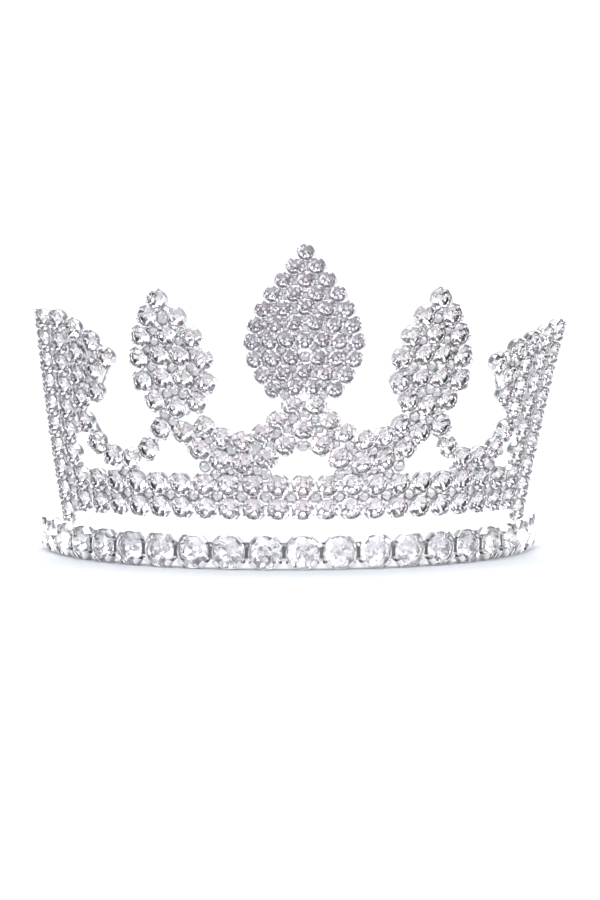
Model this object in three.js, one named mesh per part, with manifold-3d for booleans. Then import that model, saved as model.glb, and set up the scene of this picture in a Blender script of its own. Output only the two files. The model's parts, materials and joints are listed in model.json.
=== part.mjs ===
// Bridal tiara of rhinestone cup chain on a bent wire frame, in millimetres, +Z up.
//
// A low half-round row of large stones carries a taller frame that leans outwards: a two-row band, a tall
// centre leaf, two side leaves and, at each end, a post of three strands with a half leaf on its inner side.
// Swags of cup chain join the leaves. The wearer looks along -Y, and the head goes in from behind (+Y).
// The origin is the middle of the footprint, on the surface that the tiara stands on.

import * as THREE from "three";
import { mergeVertices } from "three/addons/utils/BufferGeometryUtils.js";
import Module from "manifold-3d";

const wasm = await Module();
wasm.setup();

// Base row: large round stones on half a circle.
const BASE_RADIUS = 62; // to the front rims of its cups
const BASE_STONES = 21;
const BASE_STEP = 8.55; // degrees from stone to stone
const BASE_CUP = { across: 8.4, depth: 4, link: 2.4 };
const BASE_STRIP = { outer: 57.6, thickness: 0.8, bottom: 1.8, top: 6.6, end: 88 };
const CRYSTAL = { girdle: 3.3, table: 2, crown: 1.2, pavilion: 2.1 };

// Upper frame: a cone about its own upright axis, which leans outwards as it rises.
const FRAME_RADIUS = 68.6; // outer radius at the height below
const FRAME_HEIGHT = 17.7;
const FLARE = 0.2; // growth of the radius for each millimetre of height
const FRAME_AXIS_Y = FRAME_RADIUS - 62.9;
const FRAME_END = 58.6; // degrees from the middle to the outer edge of each post

// Cup chain of the upper frame.
const SMALL_CUP = { across: 5.1, depth: 3, link: 1.5 };
const FINE_CUP = { across: 4, depth: 2.8, link: 1.2 };
const STRAND = 5.7; // from one strand's centre line to the next
const BAND_ROWS = { lower: 14.8, upper: 20.6 };
const BAND_STONES = 21;
const BAND_STEP = 5.14; // degrees
const WIRE = 0.6; // radius of the frame's wires
const GAP = 0.3; // clearance between soldered pieces
const SIDE_LEAF = 25.3; // degrees from the middle to each side leaf
const SWAG = 12.9; // degrees from the middle to the lowest point of each inner swag

// The piece is bent by hand, so its two sides differ a little: each post leans outwards by so many millimetres
// at its foot and at its head, and each side leaf bends outwards at its tip.
const HANDS = {
  left: { side: -1, atFoot: 1.7, atHead: -1.4, tip: 2.8 },
  right: { side: 1, atFoot: 0, atHead: 4.2, tip: 0.6 },
};
const POST_FOOT = 11.7; // height of the outer strand's lowest stone
const POST_HEAD = { left: 59.7, right: 56.2 }; // and of its highest one
// Stones in each post's outer and middle strand, and how far the middle one starts below the other's head.
const POST_STRANDS = {
  left: { outer: 10, middle: 7, drop: 0 },
  right: { outer: 9, middle: 6, drop: 1.2 },
};

const silver = { color: 0xd6d8dd, roughness: 0.2, metalness: 1 };
const steel = { color: 0xb9bcc2, roughness: 0.3, metalness: 1 };
const glass = { color: 0xf3f6ff, roughness: 0.05, metalness: 0.1 };

const tiara = new THREE.Group();

const radians = THREE.MathUtils.degToRad;
const frameRadius = (z) => FRAME_RADIUS + (z - FRAME_HEIGHT) * FLARE;
const degreesOf = (mm, z) => THREE.MathUtils.radToDeg(mm / frameRadius(z));

function addMesh(name, geometry, finish) {
  const mesh = new THREE.Mesh(geometry, new THREE.MeshStandardMaterial(finish));
  mesh.name = name;
  tiara.add(mesh);
  return mesh;
}

function solidOf(geometry) {
  const bare = geometry.clone();
  bare.deleteAttribute("normal");
  bare.deleteAttribute("uv");
  const merged = mergeVertices(bare, 1e-4);
  const triVerts = new Uint32Array(merged.index.array);
  const vertProperties = merged.attributes.position.array;
  return new wasm.Manifold(new wasm.Mesh({ numProp: 3, vertProperties, triVerts }));
}

function geometryOf(solid) {
  const { vertProperties, triVerts } = solid.getMesh();
  const geometry = new THREE.BufferGeometry();
  geometry.setAttribute("position", new THREE.BufferAttribute(vertProperties, 3));
  geometry.setIndex(new THREE.BufferAttribute(triVerts, 1));
  geometry.computeVertexNormals();
  return geometry;
}

// A place on the base row's upright half cylinder or on the upper frame's cone, with the way out of it.
function onBase(degrees, z, inward = 0) {
  const out = new THREE.Vector3(Math.sin(radians(degrees)), -Math.cos(radians(degrees)), 0);
  const at = out.clone().multiplyScalar(BASE_RADIUS - inward).setZ(z);
  return { at, out };
}

function onFrame(degrees, z, inward = 0) {
  const level = new THREE.Vector3(Math.sin(radians(degrees)), -Math.cos(radians(degrees)), 0);
  const at = level.clone().multiplyScalar(frameRadius(z)).add(new THREE.Vector3(0, FRAME_AXIS_Y, z));
  const out = level.clone().setZ(-FLARE).normalize();
  return { at: at.addScaledVector(out, -inward), out };
}

// A place given in millimetres sideways from an upright line of the cone.
const beside = (degrees, mm, z, inward) => onFrame(degrees + degreesOf(mm, z), z, inward);

// The matrix that stands a piece at a place: its X along the chain, its Y out of the tiara.
function facing({ at, out }, along) {
  const y = out.clone().normalize();
  const x = along.clone().addScaledVector(y, -along.dot(y)).normalize();
  return new THREE.Matrix4().makeBasis(x, y, x.clone().cross(y)).setPosition(at);
}

// An eight-sided cup with its rim at Y = 0, two of its flats facing its neighbours. It is solid, or a
// pocket is sunk in it for a crystal.
function cupGeometry({ across, depth }, pocket) {
  const corner = 1 / Math.cos(Math.PI / 8);
  const wall = (across / 2) * corner;
  const profile = [new THREE.Vector2(0, -depth), new THREE.Vector2(wall, -depth), new THREE.Vector2(wall, 0)];
  if (pocket) {
    profile.push(new THREE.Vector2((pocket.mouth / 2) * corner, 0));
    profile.push(new THREE.Vector2((pocket.floor / 2) * corner, -pocket.depth));
    profile.push(new THREE.Vector2(0, -pocket.depth));
  } else profile.push(new THREE.Vector2(0, 0));
  return new THREE.LatheGeometry(profile, 8, Math.PI / 8);
}

// One length of cup chain: a cup at each place, and a set-back link between neighbours.
function chain(name, places, cup, { closed = false, pocket = null } = {}) {
  const count = places.length;
  const at = (i) => places[closed ? (i + count) % count : THREE.MathUtils.clamp(i, 0, count - 1)];
  const solids = places.map((place, i) => {
    const along = new THREE.Vector3().subVectors(at(i + 1).at, at(i - 1).at);
    if (count === 1) along.set(-place.out.y, place.out.x, 0);
    return solidOf(cupGeometry(cup, pocket).applyMatrix4(facing(place, along)));
  });
  for (let i = 0; i < (closed ? count : count - 1); i += 1) {
    const along = new THREE.Vector3().subVectors(at(i + 1).at, at(i).at);
    const out = new THREE.Vector3().addVectors(at(i).out, at(i + 1).out).normalize();
    const middle = new THREE.Vector3().addVectors(at(i).at, at(i + 1).at).multiplyScalar(0.5);
    middle.addScaledVector(out, -cup.depth * 0.55);
    const reach = along.length() - cup.across + 0.5;
    const bar = new THREE.BoxGeometry(reach, cup.depth * 0.35, cup.link);
    solids.push(solidOf(bar.applyMatrix4(facing({ at: middle, out }, along))));
  }
  return addMesh(name, geometryOf(wasm.Manifold.union(solids)), silver);
}

// Evenly spaced points along a smooth line through [x, z] points; x is millimetres from an upright line.
function spaced(points, gaps) {
  const line = new THREE.CatmullRomCurve3(points.map(([x, z]) => new THREE.Vector3(x, 0, z)));
  line.arcLengthDivisions = 400;
  return line.getSpacedPoints(gaps).map((p) => [p.x, p.z]);
}

// The same line on both sides of the middle, from one foot over the top to the other.
const mirrored = (half) => [...half.slice(1).map(([x, z]) => [-x, z]).reverse(), ...half];
const placesBeside = (degrees, points, side = 1) =>
  points.map(([x, z]) => beside(side * degrees, side * x, z));

// A round wire through a list of points.
function wire(name, points, steps) {
  const section = new THREE.Shape().absarc(0, 0, WIRE, 0, 2 * Math.PI);
  const extrudePath = new THREE.CatmullRomCurve3(points);
  addMesh(name, new THREE.ExtrudeGeometry(section, { steps, curveSegments: 3, extrudePath }), steel);
}

const BEHIND = SMALL_CUP.depth + GAP + WIRE;
const wireBeside = (degrees, points, side) =>
  points.map(([x, z]) => beside(side * degrees, side * x, z, BEHIND).at);

// Base row, its crystals and the strip that it is soldered to.
function baseRow() {
  const middle = BASE_CUP.across / 2;
  const places = [];
  for (let i = 0; i < BASE_STONES; i += 1)
    places.push(onBase((i - (BASE_STONES - 1) / 2) * BASE_STEP, middle));
  const pocket = { mouth: 7.4, floor: 4.2, depth: 2.9 };
  chain("base_cup_chain", places, BASE_CUP, { pocket });

  const outline = [
    new THREE.Vector2(0, -CRYSTAL.pavilion),
    new THREE.Vector2(CRYSTAL.girdle, -0.1),
    new THREE.Vector2(CRYSTAL.girdle, 0.2),
    new THREE.Vector2(CRYSTAL.table, CRYSTAL.crown),
    new THREE.Vector2(0, CRYSTAL.crown),
  ];
  places.forEach((place, i) => {
    const crystal = addMesh(
      `base_crystal_${String(i + 1).padStart(2, "0")}`,
      new THREE.LatheGeometry(outline, 8, Math.PI / 8),
      glass,
    );
    const stand = facing(place, new THREE.Vector3(-place.out.y, place.out.x, 0));
    stand.decompose(crystal.position, crystal.quaternion, crystal.scale);
  });

  const { outer, thickness, bottom, top, end } = BASE_STRIP;
  const from = radians(-90 - end);
  const to = radians(-90 + end);
  const shape = new THREE.Shape();
  shape.absarc(0, 0, outer, from, to, false);
  shape.absarc(0, 0, outer - thickness, to, from, true);
  const extrusion = { depth: top - bottom, bevelEnabled: false, curveSegments: 13 };
  addMesh("base_strip", new THREE.ExtrudeGeometry(shape, extrusion), steel).position.z = bottom;
}

// The two rows of the band, each with a wire behind it.
function band() {
  for (const [row, z] of Object.entries(BAND_ROWS)) {
    const places = [];
    for (let i = 0; i < BAND_STONES; i += 1)
      places.push(onFrame((i - (BAND_STONES - 1) / 2) * BAND_STEP, z));
    chain(`band_${row}_row`, places, SMALL_CUP);
    const route = [];
    for (let degrees = -50; degrees <= 50; degrees += 10) route.push(onFrame(degrees, z, BEHIND).at);
    wire(`band_${row}_wire`, route, 20);
  }
}

// Centre leaf: three nested loops of fine chain round one stone.
function centreLeaf() {
  const rim = spaced([[0, 78.2], [5.2, 71.7], [8.9, 66.6], [11.2, 62], [12.9, 56], [11.6, 50.3], [7.6, 44.5]], 9);
  const second = spaced([[0, 71.4], [3.8, 66.6], [6.6, 62], [8.6, 56], [7.3, 51], [4.9, 48], [2.2, 45.2]], 7);
  const third = spaced([[0, 64.7], [2.6, 60.8], [4.35, 56.4], [3.2, 52.2], [0, 49.1]], 4);
  chain("centre_leaf_rim", placesBeside(0, mirrored(rim)), FINE_CUP);
  chain("centre_leaf_second_loop", placesBeside(0, mirrored(second)), FINE_CUP, { closed: true });
  chain("centre_leaf_inner_loop", placesBeside(0, mirrored(third).slice(1)), FINE_CUP, { closed: true });
  chain("centre_leaf_middle_cup", placesBeside(0, [[0, 56.6]]), FINE_CUP);
  const back = mirrored([[0, 76.4], [5, 70.4], [9.6, 62.4], [11.4, 55.6], [9.6, 49.4], [5.6, 44], [1.6, 40]]);
  wire("centre_leaf_wire", wireBeside(0, back, 1), 24);
}

// Side leaf: a closed rim round five inner stones, its tip bent outwards.
function sideLeaf(hand) {
  const { side, tip } = HANDS[hand];
  const bent = ([x, z]) => [x + tip * THREE.MathUtils.clamp((z - 39.7) / 26.3, 0, 1) ** 2, z];
  const rim = spaced([[0, 66], [4, 61.6], [6.9, 56.7], [8.6, 51.2], [8.4, 45.7], [5.6, 41.1], [0, 39.7]], 6);
  const inner = spaced([[0, 57.3], [2.75, 52.1], [2.75, 46.7]], 2);
  const places = (points) => placesBeside(SIDE_LEAF, points.map(bent), side);
  chain(`${hand}_leaf_rim`, places(mirrored(rim).slice(1)), SMALL_CUP, { closed: true });
  chain(`${hand}_leaf_inner_loop`, places(mirrored(inner)), SMALL_CUP, { closed: true });
  const back = mirrored([[0, 64.6], [4.6, 59.6], [7.6, 52.6], [7.2, 45.6], [4.4, 40.6], [1.4, 36.6]]);
  wire(`${hand}_leaf_wire`, wireBeside(SIDE_LEAF, back.map(bent), side), 20);
}

// End piece: a post of three strands, the outermost reaching down to the base row, and a half leaf. The
// post's inner strand runs on into the outer swag, as far as the side leaf. Each list starts at the top.
// Half leaf and wire are [mm from the post's outer edge, z], and the swag is [degrees, z].
const HALF_LEAF = {
  left: [[14.25, 57.8], [19.6, 55], [24.3, 51.1], [20.1, 48.1], [20, 42.4]],
  right: [[14.25, 53.9], [19.9, 52.4], [25.6, 49.2], [20.3, 46.6], [19.9, 40.9]],
};
const OUTER_SWAG = {
  left: [
    [47.3, 51.9], [47.6, 46.2], [47.7, 40.5], [47.4, 34.8],
    [44.9, 29.9], [41.2, 26.9], [36.7, 26.3], [32.3, 29], [28.9, 34.2],
  ],
  right: [
    [49.5, 48.3], [48.9, 42.9], [48.1, 37.6], [46.8, 32.4],
    [43.9, 28], [39.6, 26.3], [35, 26.3], [30.8, 29.3], [28.7, 34.6],
  ],
};
const POST_WIRE = {
  left: [[19.6, 43], [23.6, 50.8], [14.2, 57], [6, 59], [2.9, 54], [2.9, 40], [2.9, 26]],
  right: [[19.8, 41.6], [24.6, 49], [14.2, 53.2], [6, 55.4], [2.9, 50.5], [2.9, 38], [2.9, 26]],
};

function endPiece(hand) {
  const { side, atFoot, atHead } = HANDS[hand];
  const head = POST_HEAD[hand];
  const fromEdge = ([mm, z], inward) => {
    const lean = atFoot + (atHead - atFoot) * ((z - POST_FOOT) / (head - POST_FOOT)) ** 2;
    return onFrame(side * (FRAME_END - degreesOf(mm - lean, z)), z, inward);
  };
  const strand = (mm, top, bottom, gaps) =>
    Array.from({ length: gaps + 1 }, (_, i) => fromEdge([mm, top + ((bottom - top) * i) / gaps]));
  const { outer, middle, drop } = POST_STRANDS[hand];
  chain(`${hand}_post_outer_strand`, strand(STRAND / 2, head, POST_FOOT, outer - 1), SMALL_CUP);
  chain(`${hand}_post_middle_strand`, strand(STRAND * 1.5, head - drop, 26.4, middle - 1), SMALL_CUP);
  chain(`${hand}_half_leaf_strand`, HALF_LEAF[hand].map((point) => fromEdge(point)), SMALL_CUP);

  chain(`${hand}_outer_swag`, OUTER_SWAG[hand].map(([degrees, z]) => onFrame(side * degrees, z)), SMALL_CUP);
  const swagBack = OUTER_SWAG[hand].slice(3).map(([degrees, z]) => onFrame(side * degrees, z, BEHIND).at);
  wire(`${hand}_outer_swag_wire`, swagBack, 12);

  // One wire backs the half leaf and the post, and its foot rests in the notch between two base cups.
  const notch = 7.5 * BASE_STEP;
  const foot = [[1.2, 14], [1.2, 7.2]].map(([inward, z]) => onBase(side * notch, z, inward).at);
  wire(`${hand}_post_wire`, [...POST_WIRE[hand].map((point) => fromEdge(point, BEHIND).at), ...foot], 34);
}

// Inner swags: an upper strand on each side, and a lower one that runs from side leaf to side leaf.
function innerSwags() {
  const half = [[0, 34.7], [5.6, 29.8], [11, 26.5], [16, 26.1], [21.4, 26.9], [26.4, 29.6], [30.2, 33.3]];
  chain("lower_swags", placesBeside(0, mirrored(spaced(half, 6))), SMALL_CUP);
  const upper = [[2.85, 40.5], [6.4, 36.8], [10.2, 33.6], [15.1, 31.7], [20.2, 32.4], [24.8, 35.1]];
  const back = [[-14, 33.4], [-8, 29], [0, 26.6], [8, 29], [13.6, 33]];
  for (const [hand, { side }] of Object.entries(HANDS)) {
    chain(`${hand}_upper_swag`, placesBeside(0, upper.map(([x, z]) => [side * x, z])), SMALL_CUP);
    wire(`${hand}_swag_wire`, wireBeside(SWAG, back, side), 14);
  }
}

baseRow();
band();
centreLeaf();
innerSwags();
for (const hand of Object.keys(HANDS)) {
  sideLeaf(hand);
  endPiece(hand);
}

// The footprint's middle becomes the origin.
const object = new THREE.Group();
object.add(tiara);
const middle = new THREE.Box3().setFromObject(tiara).getCenter(new THREE.Vector3());
tiara.position.set(-middle.x, -middle.y, 0);

export default object;
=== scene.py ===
# %% [markdown]
# # A bridal tiara of rhinestone cup chain
#
# A tiara like this is bent up from a few wires and faced with cup chain: small pressed cups in a row, each
# with a crystal held by four prongs. This lesson starts from the measured frame of the real piece, finds
# where every cup sits in it, and stamps a finely made cup and crystal at each of those places.

# %% Load the frame
import json
import math

import bmesh
import bpy
from mathutils import Matrix, Vector
from mathutils.kdtree import KDTree

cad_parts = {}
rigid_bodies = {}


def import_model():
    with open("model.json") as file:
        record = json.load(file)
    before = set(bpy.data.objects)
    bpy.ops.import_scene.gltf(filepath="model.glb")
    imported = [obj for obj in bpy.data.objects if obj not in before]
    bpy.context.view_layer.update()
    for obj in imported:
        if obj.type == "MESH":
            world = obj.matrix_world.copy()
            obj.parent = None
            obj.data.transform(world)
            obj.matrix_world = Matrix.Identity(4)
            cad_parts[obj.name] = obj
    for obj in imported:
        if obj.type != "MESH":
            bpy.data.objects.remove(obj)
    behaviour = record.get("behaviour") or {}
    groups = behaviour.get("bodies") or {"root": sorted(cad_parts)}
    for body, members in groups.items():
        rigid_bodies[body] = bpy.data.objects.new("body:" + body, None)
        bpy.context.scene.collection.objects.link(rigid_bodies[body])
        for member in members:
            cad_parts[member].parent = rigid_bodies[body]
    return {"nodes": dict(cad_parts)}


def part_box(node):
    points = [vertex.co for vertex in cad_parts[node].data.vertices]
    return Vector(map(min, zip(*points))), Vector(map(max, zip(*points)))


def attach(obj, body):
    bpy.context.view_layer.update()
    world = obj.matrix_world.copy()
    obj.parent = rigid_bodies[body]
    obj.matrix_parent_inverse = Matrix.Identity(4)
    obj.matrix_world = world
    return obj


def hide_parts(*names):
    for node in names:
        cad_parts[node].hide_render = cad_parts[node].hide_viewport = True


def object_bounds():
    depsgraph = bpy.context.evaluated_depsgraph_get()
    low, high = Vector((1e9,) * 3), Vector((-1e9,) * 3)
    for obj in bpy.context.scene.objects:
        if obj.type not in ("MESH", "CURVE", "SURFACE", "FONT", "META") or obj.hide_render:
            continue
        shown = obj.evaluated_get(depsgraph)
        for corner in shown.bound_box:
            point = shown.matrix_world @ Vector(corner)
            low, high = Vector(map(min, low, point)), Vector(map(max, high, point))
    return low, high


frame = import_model()
frame_low, frame_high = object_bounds()
MM = 0.001
ARC_CENTRE = Vector((0, frame_high.y, 0))  # the middle of the half circle that the tiara is bent to
print("frame", [round(v / MM, 1) for v in (*frame_low, *frame_high)], "mm")

# %% [markdown]
# ## Camera, floor and light
#
# A long lens from far away keeps the posts at the ends as wide as the row in front of them. The view is
# given by how much of the tiara's height fits in it, and the distance follows from that and the lens.

# %% Camera
LENS, SENSOR = 300, 36
VIEW_HEIGHT = 218.34 * MM
AZIMUTH, ELEVATION = math.radians(-3.4), math.radians(5)
AIM_LEFT, AIM_HEIGHT = 0.8 * MM, 29.6 * MM
front_low, front_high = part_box("base_crystal_11")
AIM = Vector(((front_low.x + front_high.x) / 2 - AIM_LEFT, front_low.y, AIM_HEIGHT))

camera = bpy.data.objects.new("camera", bpy.data.cameras.new("camera"))
bpy.context.collection.objects.link(camera)
camera.data.lens, camera.data.sensor_width = LENS, SENSOR
distance = VIEW_HEIGHT * LENS / SENSOR
toward_camera = Vector((
    math.sin(AZIMUTH) * math.cos(ELEVATION),
    -math.cos(AZIMUTH) * math.cos(ELEVATION),
    math.sin(ELEVATION),
))
camera.location = AIM + toward_camera * distance
camera.rotation_euler = (-toward_camera).to_track_quat("-Z", "Y").to_euler()
camera.data.clip_end = 20
bpy.context.scene.camera = camera
print("camera", round(distance, 3), "m away")

# %% [markdown]
# The floor turns up into a backdrop in one smooth sweep, so there is no horizon. It reaches far to the front
# and the sides, so that the tiara can be looked at from all round.

# %% Floor and backdrop in one sweep
FLOOR_REACH = 9
SWEEP_START, SWEEP_RADIUS, SWEEP_STEPS = 0.5, 0.5, 12
BACKDROP_TOP = 2.5


def new_mesh_object(name, vertices, faces):
    mesh = bpy.data.meshes.new(name)
    mesh.from_pydata(vertices, [], faces)
    mesh.update()
    piece = bpy.data.objects.new(name, mesh)
    bpy.context.collection.objects.link(piece)
    return piece


profile = [(-FLOOR_REACH, 0), (SWEEP_START, 0)]
for step in range(1, SWEEP_STEPS + 1):
    turn = math.radians(90 * step / SWEEP_STEPS)
    rise = SWEEP_RADIUS - SWEEP_RADIUS * math.cos(turn)
    profile.append((SWEEP_START + SWEEP_RADIUS * math.sin(turn), rise))
profile.append((SWEEP_START + SWEEP_RADIUS, BACKDROP_TOP))
floor = new_mesh_object(
    "floor",
    [(x, y, z) for y, z in profile for x in (-FLOOR_REACH, FLOOR_REACH)],
    [(2 * i, 2 * i + 1, 2 * i + 3, 2 * i + 2) for i in range(len(profile) - 1)],
)
floor.data.shade_smooth()
print("floor:", len(floor.data.polygons), "faces")

# %% [markdown]
# Materials and the room are both made of nodes, so three short helpers come first: one adds a node with its
# values, one adds a node that maps one range of numbers to another, and one joins sockets in pairs.

# %% Helpers for nodes
FACTOR, COLOUR_A, COLOUR_B, MIXED = 0, 6, 7, 2  # the colour sockets of a Mix node


def node(tree, kind, **values):
    """A new node; each value goes to the socket or else to the property of that name."""
    made = tree.nodes.new(kind)
    for name, value in values.items():
        if name in made.inputs:
            made.inputs[name].default_value = value
        else:
            setattr(made, name, value)
    return made


def ranged(tree, low, high, to_low, to_high):
    made = node(tree, "ShaderNodeMapRange")
    for socket, value in (("From Min", low), ("From Max", high), ("To Min", to_low), ("To Max", to_high)):
        made.inputs[socket].default_value = value
    return made


def wire_up(tree, *pairs):
    for source, target in pairs:
        tree.links.new(source, target)


# %% [markdown]
# Crystals only show what they reflect. The light comes from four soft panels, and the room round them has
# soft light and dark patches, because a stone in an evenly lit room looks dull and flat.

# %% Light panels and the room
ROOM_DARK, ROOM_LIGHT = 0.12, 1.1
ROOM_TINT = (0.84, 0.91, 1.0, 1)
LIT_POINT = Vector((0, 0, 0.04))


def light_panel(name, place, size, power, colour=(1, 1, 1)):
    lamp = bpy.data.lights.new(name, "AREA")
    lamp.shape, lamp.size, lamp.size_y = "RECTANGLE", *size
    lamp.energy, lamp.color = power, colour
    panel = bpy.data.objects.new(name, lamp)
    bpy.context.collection.objects.link(panel)
    panel.location = place
    panel.rotation_euler = (LIT_POINT - Vector(place)).to_track_quat("-Z", "Y").to_euler()
    return panel


light_panel("panel_top", (0, 0.1, 1.1), (1.6, 1.3), 21)
light_panel("panel_left", (-1.0, -0.9, 0.7), (0.5, 0.9), 8, (0.97, 0.98, 1.0))
light_panel("panel_right", (1.0, -0.8, 0.5), (0.4, 0.8), 7, (1.0, 0.98, 0.97))
light_panel("panel_low", (0.25, -1.5, 0.25), (0.5, 0.25), 3)

room = bpy.data.worlds.new("room")
room.use_nodes = True
bpy.context.scene.world = room
sky = room.node_tree
backdrop = sky.nodes["Background"]
backdrop.inputs["Color"].default_value = ROOM_TINT
look = node(sky, "ShaderNodeTexCoord")
patches = node(sky, "ShaderNodeTexNoise", Scale=4.0, Detail=3.0)
levels = ranged(sky, 0.44, 0.60, ROOM_DARK, ROOM_LIGHT)
wire_up(
    sky,
    (look.outputs["Generated"], patches.inputs["Vector"]),
    (patches.outputs["Fac"], levels.inputs["Value"]),
    (levels.outputs["Result"], backdrop.inputs["Strength"]),
)
bpy.context.scene.view_settings.view_transform = "Standard"

# %% [markdown]
# ## Finishes
#
# Bright silver plate is on the cups, small links, wires and strip: polished metal with fine rubbing marks
# and slightly dull hollows. The links of the large chain lie deep between the cups; their dull dark steel
# colour is painted shade.
# Solder is greyer and lumpy. The crystals are clear glass in front and foil behind, as real rhinestones are,
# so light goes in through the crown, turns round on the foil and comes out broken up. The large stones have
# the lightest foil and the small stones of the centre leaf the darkest: this is painted light and painted
# shade, one foil painted lighter and darker. No metal is even all over, so one group mixes a slow drift of
# colour and polish, and every finish uses it with its own values; in the foils its warm pink tone is a
# painted glint.

# %% A node group for uneven plating and painted glint tint
# In the foils the second colour is a painted glint: a warm pink tone that stands in for the coloured fire of
# the crystals.
drift = bpy.data.node_groups.new("uneven_plate_and_glint_tint", "ShaderNodeTree")
for socket, kind, value in (
    ("Base", "NodeSocketColor", (0.8, 0.8, 0.82, 1)),
    ("Tarnish_and_Glint_Tint", "NodeSocketColor", (0.6, 0.58, 0.55, 1)),
    ("Scale", "NodeSocketFloat", 60.0),
    ("Dull", "NodeSocketFloat", 0.3),
    ("Bright", "NodeSocketFloat", 0.12),
):
    made = drift.interface.new_socket(socket, in_out="INPUT", socket_type=kind)
    made.default_value = value
for socket, kind in (
    ("Color", "NodeSocketColor"),
    ("Roughness", "NodeSocketFloat"),
    ("Height", "NodeSocketFloat"),
):
    drift.interface.new_socket(socket, in_out="OUTPUT", socket_type=kind)

MARKS_FINER = 9  # how many times finer the rubbing marks are than the drift
take, give = node(drift, "NodeGroupInput"), node(drift, "NodeGroupOutput")
place = node(drift, "ShaderNodeTexCoord")
clouds = node(drift, "ShaderNodeTexNoise", Detail=3.0)
marks = node(drift, "ShaderNodeTexNoise", Detail=2.0)
finer = node(drift, "ShaderNodeMath", operation="MULTIPLY")
finer.inputs[1].default_value = MARKS_FINER
blend = node(drift, "ShaderNodeMix", data_type="RGBA")
spread = ranged(drift, 0.35, 0.68, 0, 1)
wire_up(
    drift,
    (take.outputs["Scale"], clouds.inputs["Scale"]),
    (take.outputs["Scale"], finer.inputs[0]),
    (finer.outputs[0], marks.inputs["Scale"]),
    (place.outputs["Object"], clouds.inputs["Vector"]),
    (place.outputs["Object"], marks.inputs["Vector"]),
    (clouds.outputs["Fac"], spread.inputs["Value"]),
    (take.outputs["Bright"], spread.inputs["To Min"]),
    (take.outputs["Dull"], spread.inputs["To Max"]),
    (clouds.outputs["Fac"], blend.inputs[FACTOR]),
    (take.outputs["Base"], blend.inputs[COLOUR_A]),
    (take.outputs["Tarnish_and_Glint_Tint"], blend.inputs[COLOUR_B]),
    (blend.outputs[MIXED], give.inputs["Color"]),
    (spread.outputs["Result"], give.inputs["Roughness"]),
    (marks.outputs["Fac"], give.inputs["Height"]),
)
print("uneven_plate_and_glint_tint:", len(drift.nodes), "nodes")

# %% Metals, foils and crystal
MARK_DEPTH = 0.05 * MM
CRYSTAL_IOR = 1.56


def finish_with(name, metal, base, tarnish_and_glint_tint, scale, bright, dull, bump=0.0):
    """A material whose colour and roughness drift over the surface."""
    material = bpy.data.materials.new(name)
    material.use_nodes = True
    tree = material.node_tree
    shader = tree.nodes["Principled BSDF"]
    shader.inputs["Metallic"].default_value = metal
    group = node(tree, "ShaderNodeGroup", node_tree=drift)
    group.inputs["Base"].default_value = (*base, 1)
    group.inputs["Tarnish_and_Glint_Tint"].default_value = (*tarnish_and_glint_tint, 1)
    for socket, value in (("Scale", scale), ("Bright", bright), ("Dull", dull)):
        group.inputs[socket].default_value = value
    tree.links.new(group.outputs["Color"], shader.inputs["Base Color"])
    tree.links.new(group.outputs["Roughness"], shader.inputs["Roughness"])
    if bump:
        relief = node(tree, "ShaderNodeBump", Strength=bump, Distance=MARK_DEPTH)
        tree.links.new(group.outputs["Height"], relief.inputs["Height"])
        tree.links.new(relief.outputs["Normal"], shader.inputs["Normal"])
    return material


# name, metal, colour, colour where dull, scale of the drift, roughness where bright and where dull, relief
plate = finish_with("silver_plate", 1, (0.86, 0.86, 0.88), (0.66, 0.65, 0.66), 300, 0.10, 0.26, 0.25)
# The warm pink drift of the foils is a painted glint for the crystals' coloured fire.
foil = finish_with("mirror_foil", 1, (0.90, 0.88, 0.92), (0.78, 0.71, 0.71), 160, 0.02, 0.08)
# Painted shade: the foil of the centre leaf's small stones is made darker than the other foil.
fine_foil = finish_with("fine_foil", 1, (0.74, 0.72, 0.77), (0.58, 0.52, 0.53), 220, 0.02, 0.08)
# Painted light: the foil of the large base stones is made the lightest of all.
soft_foil = finish_with("soft_foil", 1, (0.98, 0.97, 0.99), (0.93, 0.90, 0.91), 90, 0.12, 0.3)
# The dark colour of this steel is painted shade: it darkens the large chain's links to stand in for the shade
# between the base stones.
dark_steel = finish_with("dark_steel", 1, (0.20, 0.19, 0.18), (0.11, 0.10, 0.10), 260, 0.22, 0.4, 0.2)
crown = finish_with("clear_crystal", 0, (1, 1, 1), (0.97, 0.98, 1), 150, 0.0, 0.01)
glass = crown.node_tree.nodes["Principled BSDF"]
glass.inputs["Transmission Weight"].default_value = 1
glass.inputs["IOR"].default_value = CRYSTAL_IOR
solder_metal = finish_with("solder", 1, (0.74, 0.73, 0.75), (0.40, 0.39, 0.40), 900, 0.14, 0.32, 0.9)
finishes = (plate, foil, fine_foil, soft_foil, dark_steel, crown, solder_metal)
print("finishes:", [m.name for m in finishes])

# %% [markdown]
# The floor is pale to look at. The upper stones mirror it, and a plain white floor would take away their
# sparkle, so in mirrored light it is patchy. Close to the large stones it stays white, because they are the
# lightest stones of all. The backdrop's rear side is see-through, so the tiara can be seen from behind.

# %% Floor paint
FLOOR_DARK, FLOOR_LIGHT = 0.3, 0.85
NEAR_FLOOR, FAR_FLOOR = 82 * MM, 104 * MM  # from the middle of the half circle
SEEN_WHITE = (0.70, 0.72, 0.745, 1)

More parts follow.
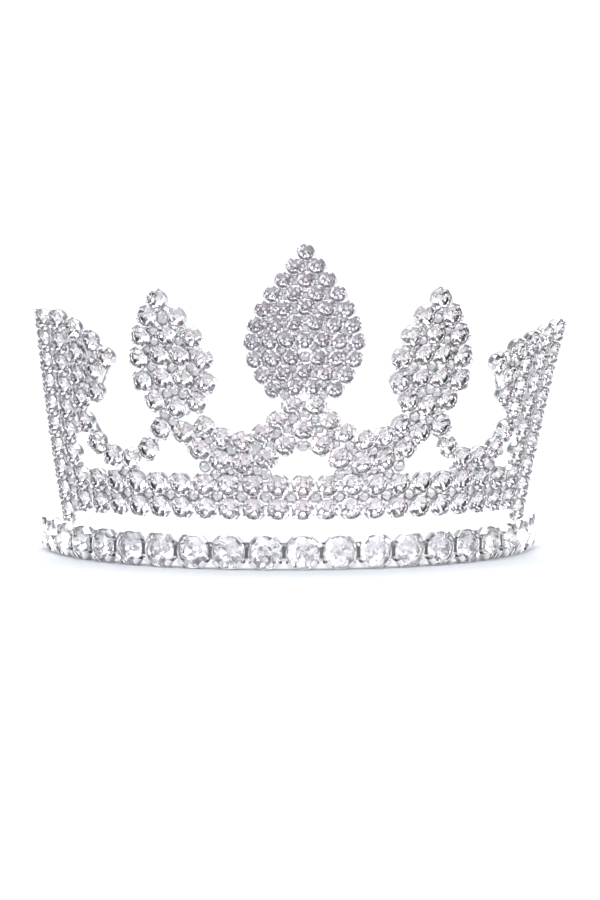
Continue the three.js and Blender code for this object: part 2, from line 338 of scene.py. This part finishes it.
floor_paint = finish_with("floor_paint", 0, (0.93, 0.93, 0.94), (0.91, 0.91, 0.92), 3, 0.6, 0.7)
tree = floor_paint.node_tree
paint = tree.nodes["Principled BSDF"]
white = paint.inputs["Base Color"].links[0].from_socket
seen = node(tree, "ShaderNodeLightPath")
spot = node(tree, "ShaderNodeTexCoord")
speckle = node(tree, "ShaderNodeTexNoise", Scale=55.0, Detail=2.0)
shade = ranged(tree, 0.42, 0.58, FLOOR_DARK, FLOOR_LIGHT)
from_middle = node(tree, "ShaderNodeVectorMath", operation="DISTANCE")
from_middle.inputs[1].default_value = ARC_CENTRE
near = ranged(tree, NEAR_FLOOR, FAR_FLOOR, 1, 0)
mirrored = node(tree, "ShaderNodeMix", data_type="RGBA")
tone = node(tree, "ShaderNodeMix", data_type="RGBA")
tone.inputs[COLOUR_B].default_value = SEEN_WHITE
see_through = node(tree, "ShaderNodeBsdfTransparent")
side = node(tree, "ShaderNodeNewGeometry")
front_or_back = node(tree, "ShaderNodeMixShader")
wire_up(
    tree,
    (spot.outputs["Object"], speckle.inputs["Vector"]),
    (spot.outputs["Object"], from_middle.inputs[0]),
    (speckle.outputs["Fac"], shade.inputs["Value"]),
    (from_middle.outputs["Value"], near.inputs["Value"]),
    (near.outputs["Result"], mirrored.inputs[FACTOR]),
    (shade.outputs["Result"], mirrored.inputs[COLOUR_A]),
    (white, mirrored.inputs[COLOUR_B]),
    (seen.outputs["Is Camera Ray"], tone.inputs[FACTOR]),
    (mirrored.outputs[MIXED], tone.inputs[COLOUR_A]),
    (tone.outputs[MIXED], paint.inputs["Base Color"]),
    (side.outputs["Backfacing"], front_or_back.inputs[0]),
    (paint.outputs["BSDF"], front_or_back.inputs[1]),
    (see_through.outputs["BSDF"], front_or_back.inputs[2]),
    (front_or_back.outputs["Shader"], tree.nodes["Material Output"].inputs["Surface"]),
)
floor.data.materials.append(floor_paint)
print("floor paint:", len(tree.nodes), "nodes")

# %% [markdown]
# ## Finding the cups
#
# In the frame each cup is a plain eight-sided block with a flat front. Two neighbouring triangles belong to
# one front if an edge joins them and they lie in one plane, so a walk from triangle to triangle collects each
# front. Its area tells a cup front from a side wall, and its direction tells front from back.

# %% Collect the flat fronts of a chain
SAME_PLANE = math.cos(math.radians(0.6))
WELD = 0.002 * MM
AREA_MATCH = 0.06
SMALL, FINE, LARGE = 5.1 * MM, 4.0 * MM, 8.4 * MM  # cup widths


def flat_patches(mesh):
    """Every connected flat patch of a mesh, as (area, centre, normal)."""
    bm = bmesh.new()
    bm.from_mesh(mesh)
    bmesh.ops.remove_doubles(bm, verts=bm.verts, dist=WELD)
    seen, patches = set(), []
    for first in bm.faces:
        if first in seen:
            continue
        seen.add(first)
        patch, open_faces = [], [first]
        while open_faces:
            face = open_faces.pop()
            patch.append(face)
            for edge in face.edges:
                for other in edge.link_faces:
                    if other not in seen and other.normal.dot(first.normal) > SAME_PLANE:
                        seen.add(other)
                        open_faces.append(other)
        area = sum(f.calc_area() for f in patch)
        centre = sum((f.calc_center_median() * f.calc_area() for f in patch), Vector()) / area
        patches.append((area, centre, first.normal.copy()))
    bm.free()
    return patches


def cup_fronts(node_name, across):
    """Places and outward directions of the cups of a chain whose cups are this wide across."""
    octagon = 2 * (math.sqrt(2) - 1) * across**2
    fronts = []
    for area, centre, normal in flat_patches(bpy.data.objects[node_name].data):
        outward = Vector((centre.x, centre.y - ARC_CENTRE.y, 0)).dot(normal) > 0
        if outward and abs(area / octagon - 1) < AREA_MATCH:
            fronts.append((centre, normal))
    return fronts


chain_nodes = sorted(n for n in frame["nodes"] if not n.startswith("base") and not n.endswith("wire"))
frame_size = {n: FINE if n.startswith("centre_leaf") else SMALL for n in chain_nodes}
fronts = {n: cup_fronts(n, frame_size[n]) for n in chain_nodes}
print({n: len(f) for n, f in fronts.items()})
print("small cups:", sum(map(len, fronts.values())))

# %% [markdown]
# The frame leaves clear room between its cups. In the finished piece they nearly touch, so each chain's cups
# grow a little, and never so far that they reach into the next one.

# %% Let each chain's cups grow until they almost touch
MOST_GROWTH = 1.1
ALMOST_TOUCHING = 0.985
everywhere = [here for found in fronts.values() for here, _ in found]
cup_size = {}
for n in chain_nodes:
    room_left = min(
        (there - here).length for here, _ in fronts[n] for there in everywhere if there is not here
    )
    cup_size[n] = min(max(room_left * ALMOST_TOUCHING, frame_size[n]), frame_size[n] * MOST_GROWTH)
print({n: round(size / MM, 2) for n, size in cup_size.items()})

# %% [markdown]
# ## Which cups are neighbours
#
# A chain runs from each cup to the two nearest ones. The direction to a neighbour also turns the cup, because
# its four prongs stand halfway between the links.

# %% Pair the cups up and give each its own axes


def neighbours(places, reach):
    """Pairs of cups that a link joins."""
    nearest = []
    for i, (here, _) in enumerate(places):
        others = (j for j in range(len(places)) if j != i)
        others = sorted(others, key=lambda j: (places[j][0] - here).length)
        nearest.append([j for j in others[:2] if (places[j][0] - here).length < reach])
    return [(i, j) for i in range(len(places)) for j in nearest[i] if i < j and i in nearest[j]]


def axes_at(place, out, along):
    """Matrix whose X runs along the chain and whose Z points out of the tiara."""
    z = out.normalized()
    x = (along - z * along.dot(z)).normalized()
    return Matrix.Translation(place) @ Matrix((x, z.cross(x), z)).transposed().to_4x4()


def sized(matrix, x, y, z):
    """The same axes with a template's unit stretched to these lengths."""
    return matrix @ Matrix.Diagonal((x, y, z, 1))


def cup_axes(places, pairs):
    made = []
    for i, (here, out) in enumerate(places):
        other = next((a + b - i for a, b in pairs if i in (a, b)), None)
        along = places[other][0] - here if other is not None else Vector((1, 0, 0))
        made.append(axes_at(here, out, along))
    return made


# %% [markdown]
# ## The cup and its prongs
#
# A cup is pressed from thin sheet, so it is a turned shell: a small flat back, a rounded heel and an open
# mouth. Four prongs rise from the mouth and fold in over the edge of the stone. One cup is made at unit
# width and stamped at every place, which keeps hundreds of cups exactly alike, as pressing does.

# %% Turned and swept building blocks, as lists of points and faces


def turned(outline, around):
    """A solid of revolution about Z; the outline starts and ends on the axis."""
    points, faces = [Vector((0, 0, outline[0][1]))], []
    for radius, height in outline[1:-1]:
        for k in range(around):
            turn = 2 * math.pi * k / around
            points.append(Vector((radius * math.cos(turn), radius * math.sin(turn), height)))
    points.append(Vector((0, 0, outline[-1][1])))
    rings, last = len(outline) - 2, len(points) - 1
    for k in range(around):
        after = (k + 1) % around
        faces.append((0, 1 + after, 1 + k))
        faces.append((last, last - around + k, last - around + after))
        for r in range(rings - 1):
            low, high = 1 + r * around, 1 + (r + 1) * around
            faces.append((low + k, low + after, high + after, high + k))
    return points, faces


def bar_faces(stations):
    """Faces of a bar with four corners at each station, closed at both ends."""
    faces = []
    for i in range(stations - 1):
        for k in range(4):
            a, b = 4 * i + k, 4 * i + (k + 1) % 4
            faces.append((a, b, b + 4, a + 4))
    end = 4 * (stations - 1)
    return faces + [(3, 2, 1, 0), (end, end + 1, end + 2, end + 3)]


def tab(route, turn):
    """A flat tongue of (radius, height, width, thickness) stations, turned round Z."""
    spin = Matrix.Rotation(turn, 3, "Z")
    points = []
    for i, (radius, height, width, thickness) in enumerate(route):
        before, after = route[max(i - 1, 0)], route[min(i + 1, len(route) - 1)]
        way = Vector((after[0] - before[0], 0, after[1] - before[1])).normalized()
        side = Vector((-way.z, 0, way.x)) * thickness / 2
        middle = Vector((radius, 0, height))
        for across, through in ((-1, -1), (1, -1), (1, 1), (-1, 1)):
            points.append(spin @ (middle + Vector((0, across * width / 2, 0)) + side * through))
    return points, bar_faces(len(route))


def joined(*parts):
    points, faces = [], []
    for more_points, more_faces in parts:
        faces += [tuple(i + len(points) for i in face) for face in more_faces]
        points += more_points
    return points, faces


def placed(shape, matrix):
    return [matrix @ p for p in shape[0]], shape[1]


# %% The cup at unit width
CUP_DEPTH = 0.585
CUP_OUTLINE = [  # radius, height above the mouth
    (0, -CUP_DEPTH), (0.30, -CUP_DEPTH), (0.38, -0.56), (0.44, -0.47), (0.478, -0.33), (0.5, -0.17),
    (0.497, -0.145), (0.482, -0.14), (0.466, -0.16), (0.445, -0.26), (0.33, -0.43), (0, -0.46),
]
PRONG = [  # radius, height above the mouth, width, thickness
    (0.49, -0.34, 0.30, 0.05), (0.525, -0.20, 0.28, 0.06), (0.525, -0.11, 0.25, 0.065),
    (0.48, -0.055, 0.20, 0.065), (0.42, -0.045, 0.14, 0.055), (0.385, -0.055, 0.07, 0.03),
]
CUP_SIDES = 24
cup = joined(
    turned(CUP_OUTLINE, CUP_SIDES),
    *(tab(PRONG, math.radians(45 + 90 * k)) for k in range(4)),
)
print("cup:", len(cup[0]), "points", len(cup[1]), "faces")

# %% [markdown]
# ## The crystal
#
# A cut stone is the solid held between a set of flat planes, so its corners tell its shape: a table, a ring
# of star points, a girdle and a pointed back. The hull of those corners gives flat facets. Faces that look
# backwards take the foil, and all the rest stay clear.

# %% The cut stone at unit radius
STONE_RINGS = [
    # count, first angle in degrees, radius, height
    (8, 0, 0.56, 0.36), (8, 22.5, 0.80, 0.21), (16, 0, 1.0, 0.02), (16, 0, 1.0, -0.05),
    (8, 22.5, 0.62, -0.34), (1, 0, 0.0, -0.78),
]
FOIL_BELOW = -0.06


def cut_stone():
    bm = bmesh.new()
    for count, first, radius, height in STONE_RINGS:
        for k in range(count):
            turn = math.radians(first + 360 * k / count)
            bm.verts.new((radius * math.cos(turn), radius * math.sin(turn), height))
    bmesh.ops.convex_hull(bm, input=bm.verts)
    bmesh.ops.dissolve_limit(bm, angle_limit=math.radians(1), verts=bm.verts, edges=bm.edges)
    bmesh.ops.recalc_face_normals(bm, faces=bm.faces)
    bm.verts.index_update()
    points = [v.co.copy() for v in bm.verts]
    faces = [tuple(v.index for v in f.verts) for f in bm.faces]
    backs = [f.calc_center_median().z < FOIL_BELOW for f in bm.faces]
    bm.free()
    return points, faces, backs


stone_points, stone_faces, stone_backs = cut_stone()
print("stone:", len(stone_faces), "facets", sum(stone_backs), "on the foil side")

# %% [markdown]
# ## Links
#
# In cup chain a flat link holds each cup to the next. It sits behind the mouths and is narrow in the middle,
# where the chain bends. The large chain's links are broad and dark, and show as thin dark marks between its
# stones; their dark colour is painted shade between the stones.

# %% A link between two cups
# each station: how far along, of half the length, and half the width, of a cup's width
SMALL_LINK = [(-1, 0.14), (-0.45, 0.075), (0, 0.06), (0.45, 0.075), (1, 0.14)]
LARGE_LINK = [(-1, 0.17), (-0.45, 0.16), (0, 0.155), (0.45, 0.16), (1, 0.17)]
HALF_THICK = 0.05


def link_shape(start, end, width, stations=SMALL_LINK, set_back=0.32, foot=0.42):
    """A flat bar between two (place, direction) cups, set back behind their mouths."""
    (start, way), (end, other_way) = start, end
    along, out = end - start, (way + other_way).normalized()
    axes = axes_at((start + end) / 2 - out * width * set_back, out, along)
    half, points = along.length / 2 - width * foot, []
    for x, y in stations:
        for side, height in ((-1, -1), (1, -1), (1, 1), (-1, 1)):
            points.append(axes @ Vector((x * half, side * y * width, height * HALF_THICK * width)))
    return points, bar_faces(len(stations))


# %% [markdown]
# ## Stamping
#
# Each chain becomes two pieces: its cups with their links, and its stones. Both are built from the template
# and the list of axes. The cups stand for the chain's plain solid in the frame.

# %% Stamp a template at every set of axes
STONE_RADIUS, STONE_SEAT = 0.455, 0.165  # of the cup's width
LINK_REACH = 1.34


def stamped(name, shapes, materials, marks=None, sharp=30):
    """One mesh object from (points, faces) shapes; marks give each face's material slot."""
    points, faces = joined(*shapes)
    piece = new_mesh_object(name, points, faces)
    for material in materials:
        piece.data.materials.append(material)
    if marks:
        piece.data.polygons.foreach_set("material_index", marks)
    if sharp:
        piece.data.shade_smooth()
        piece.data.set_sharp_from_angle(angle=math.radians(sharp))
    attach(piece, "root")
    return piece


def stones(name, cups, width, backing):
    """Cut stones seated in the cups with these axes and this width."""
    radius, seat = STONE_RADIUS * width, Matrix.Translation((0, 0, -STONE_SEAT * width))
    shapes = [placed((stone_points, stone_faces), sized(m @ seat, radius, radius, radius)) for m in cups]
    marks = [int(back) for back in stone_backs] * len(cups)
    return stamped(name, shapes, [crown, backing], marks, sharp=0)


for n in chain_nodes:
    width = cup_size[n]
    pairs = neighbours(fronts[n], width * LINK_REACH)
    axes = cup_axes(fronts[n], pairs)
    shapes = [placed(cup, sized(m, width, width, width)) for m in axes]
    shapes += [link_shape(fronts[n][i], fronts[n][j], width) for i, j in pairs]
    cups = stamped(n + "_cups", shapes, [plate])
    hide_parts(n)
    # The centre leaf's stones take the darker foil, which is painted shade.
    gems = stones(n + "_stones", axes, width, fine_foil if n.startswith("centre_leaf") else foil)
print("chains:", len(chain_nodes))

# %% [markdown]
# ## The base row
#
# The large stones sit in the same kind of cup, one size up. Each crystal here is a piece of its own, and the
# crystals of the frame say where the cups are. Three of them fix the circle that the row is bent to, and its
# centre gives every cup its way out.

# %% Base cups and crystals
BASE_STONES = 21
BASE_OUT = 0.5 * MM  # from the middle of a frame crystal to the mouth of its cup
LARGE_SET_BACK, LARGE_FOOT = 0.22, 0.475


def circle_centre(a, b, c):
    """Centre of the circle through three points at one height."""
    ab, bc = b - a, c - b
    turn = 2 * (ab.x * bc.y - ab.y * bc.x)
    m, n = b.length_squared - a.length_squared, c.length_squared - b.length_squared
    return Vector(((m * bc.y - n * ab.y) / turn, (n * ab.x - m * bc.x) / turn, a.z))


middles = [sum(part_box(f"base_crystal_{k:02d}"), Vector()) / 2 for k in range(1, BASE_STONES + 1)]
arc_middle = circle_centre(middles[0], middles[BASE_STONES // 2], middles[-1])
print("base row: radius", round((middles[0] - arc_middle).length / MM, 2), "mm")

base_fronts = []
for middle in middles:
    out = (middle - arc_middle).normalized()
    base_fronts.append((middle + out * BASE_OUT, out))
base_pairs = [(i, i + 1) for i in range(BASE_STONES - 1)]
base_axes = cup_axes(base_fronts, base_pairs)
shapes = [placed(cup, sized(m, LARGE, LARGE, LARGE)) for m in base_axes]
cup_faces = len(cup[1]) * BASE_STONES
for i, j in base_pairs:
    shapes.append(link_shape(base_fronts[i], base_fronts[j], LARGE, LARGE_LINK, LARGE_SET_BACK, LARGE_FOOT))
link_faces = sum(len(faces) for _, faces in shapes) - cup_faces
# The large chain's links take the dark steel: painted shade between the base stones.
base_cups = stamped("base_cups", shapes, [plate, dark_steel], [0] * cup_faces + [1] * link_faces)
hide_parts("base_cup_chain")
for k, matrix in enumerate(base_axes, 1):
    # The base stones take the lightest foil, which is painted light.
    gem = stones(f"base_stone_{k:02d}", [matrix], LARGE, soft_foil)
    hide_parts(f"base_crystal_{k:02d}")

# %% [markdown]
# ## Wires and strip
#
# The frame's wires are six-sided and bent in short steps. Joining their triangles into quads and dividing
# them smoothly turns them into round, evenly bent wire. The strip keeps its shape and gets rolled edges.

# %% Round wires and a strip with rolled edges
WIRE_WELD = 0.005 * MM
ROLLED_EDGE = 0.22 * MM


def copy_of(node_name, name, material):
    """A new piece with the shape of a frame node, its triangles joined into quads."""
    mesh = bpy.data.objects[node_name].data.copy()
    mesh.name = name
    mesh.materials.clear()
    piece = bpy.data.objects.new(name, mesh)
    piece.matrix_world = bpy.data.objects[node_name].matrix_world
    bpy.context.collection.objects.link(piece)
    bm = bmesh.new()
    bm.from_mesh(mesh)
    bmesh.ops.remove_doubles(bm, verts=bm.verts, dist=WIRE_WELD)
    bmesh.ops.join_triangles(
        bm, faces=bm.faces, angle_face_threshold=math.radians(30), angle_shape_threshold=math.radians(50)
    )
    bm.to_mesh(mesh)
    bm.free()
    mesh.materials.append(material)
    mesh.shade_smooth()
    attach(piece, "root")
    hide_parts(node_name)
    return piece


wire_nodes = sorted(n for n in frame["nodes"] if n.endswith("wire"))
for n in wire_nodes:
    smooth = copy_of(n, n + "_round", plate).modifiers.new("round", "SUBSURF")
    smooth.levels = smooth.render_levels = 2

strip = copy_of("base_strip", "base_strip_rolled", plate)
rolled = strip.modifiers.new("rolled", "BEVEL")
rolled.width, rolled.segments, rolled.limit_method = ROLLED_EDGE, 3, "ANGLE"
rolled.angle_limit = math.radians(40)
strip.data.set_sharp_from_angle(angle=math.radians(50))
print("wires:", len(wire_nodes))

# %% [markdown]
# ## Solder
#
# Solder holds the piece together. It also runs into the hollow between three or four cups that stand close,
# and that is why such a tiara looks filled from edge to edge. The grey solder in these hollows is partly
# solder and partly painted shade, standing in for the shade that falls between the cups. The middle of a
# hollow is the middle of the circle through three cups, if no other cup is nearer. Wide circles belong to the
# openings and stay free.

# %% The hollows between three cups that solder runs into
WIDEST_HOLLOW = 0.84  # distance from a hollow's middle to its cups, of a cup's width
WIDEST_SIDE = 1.58  # distance between two of its cups, of a cup's width
NOTHING_NEARER = 0.97
IN_A_LINE = 0.3  # sine of the angle below which three cups make no hollow
SAME_HOLLOW = 1.2 * MM
FILL_OVERLAP, LARGEST_FILL = 0.45 * MM, 1.6 * MM

cups_all = [(here, out, cup_size[n]) for n in chain_nodes for here, out in fronts[n]]


def tree_of(points):
    """A search tree that finds the nearest of these points."""
    found = KDTree(len(points))
    for i, point in enumerate(points):
        found.insert(point, i)
    found.balance()
    return found


def hollow_between(a, b, c):
    """Middle and radius of the circle through three cups, or None if they stand in a line."""
    ab, ac = b - a, c - a
    up = ab.cross(ac)
    if up.length < IN_A_LINE * ab.length * ac.length:
        return None
    shift = (up.cross(ab) * ac.length_squared + ac.cross(up) * ab.length_squared) / (2 * up.length_squared)
    return a + shift, shift.length


cup_tree = tree_of([here for here, _, _ in cups_all])
hollows = []
for i, (here, out, width) in enumerate(cups_all):
    around = [j for _, j, _ in cup_tree.find_range(here, 2 * WIDEST_HOLLOW * width) if j > i]
    for j in around:
        for k in (k for k in around if k > j):
            second, third = cups_all[j][0], cups_all[k][0]
            found = hollow_between(here, second, third)
            longest = max((here - second).length, (second - third).length, (third - here).length)
            if not found or found[1] > WIDEST_HOLLOW * width or longest > WIDEST_SIDE * width:
                continue
            centre, reach = found
            nearest = cup_tree.find(centre)[2]
            taken = any((centre - other).length < SAME_HOLLOW for other, _, _ in hollows)
            if nearest > NOTHING_NEARER * reach and not taken:
                hollows.append((centre, out, min(reach - 0.5 * width + FILL_OVERLAP, LARGEST_FILL)))
print("hollows:", len(hollows))

# %% [markdown]
# A bead also sits wherever a wire runs behind a cup, wherever cups of two chains almost touch, and between
# each base cup and the strip. Each bead is a squashed ball that reaches into both.

# %% Beads of solder
BEAD = [(0, -1), (0.5, -0.87), (0.87, -0.5), (1, 0), (0.87, 0.5), (0.5, 0.87), (0, 1)]
BEAD_SIDES = 10
BEAD_TURN = Vector((0.3, 0.2, 1))
WIRE_NEAR, CHAIN_NEAR = 2.1 * MM, 0.9 * MM
WIRE_BEAD, CHAIN_BEAD, STRIP_BEAD = (1.0 * MM, 0.75 * MM), (1.1 * MM, 0.6 * MM), (1.5 * MM, 0.9 * MM)
INTO_WIRE = 0.3  # how far from the cup's back to the wire a bead sits
BEHIND_BACK = 0.9 * MM
FILL_DEPTH, FILL_FLATNESS = 1.5 * MM, 0.6
STRIP_OVERLAP = 0.3 * MM


def bead(place, out, radius, depth):
    return placed(turned(BEAD, BEAD_SIDES), sized(axes_at(place, out, BEAD_TURN), radius, radius, depth))


beads = []
wire_tree = tree_of([
    bpy.data.objects[n].matrix_world @ v.co for n in wire_nodes for v in bpy.data.objects[n].data.vertices
])
backs = [(n, here - out * CUP_DEPTH * cup_size[n], out) for n in chain_nodes for here, out in fronts[n]]
for n, back, out in backs:
    near = wire_tree.find(back)[0]
    if (near - back).length < WIRE_NEAR:
        beads.append(bead(back.lerp(near, INTO_WIRE), out, *WIRE_BEAD))
on_wire = len(beads)

for i, (n, back, out) in enumerate(backs):
    for other, there, way in backs[i + 1:]:
        reach = (cup_size[n] + cup_size[other]) / 2 + CHAIN_NEAR
        if other != n and (there - back).length < reach:
            shift = (out + way).normalized() * BEHIND_BACK
            beads.append(bead((back + there) / 2 + shift, out, *CHAIN_BEAD))
between = len(beads) - on_wire

# Solder fills in the hollows: partly solder, partly painted shade between the cups.
for centre, out, radius in hollows:
    beads.append(bead(centre - out * FILL_DEPTH, out, radius, FILL_FLATNESS * radius))

for place, out in base_fronts:
    beads.append(bead(place - out * (CUP_DEPTH * LARGE - STRIP_OVERLAP), out, *STRIP_BEAD))
solder = stamped("solder", beads, [solder_metal], sharp=60)
print("beads:", on_wire, "on wires,", between, "between chains,", len(hollows), "in hollows,",
      len(base_fronts), "on the strip")
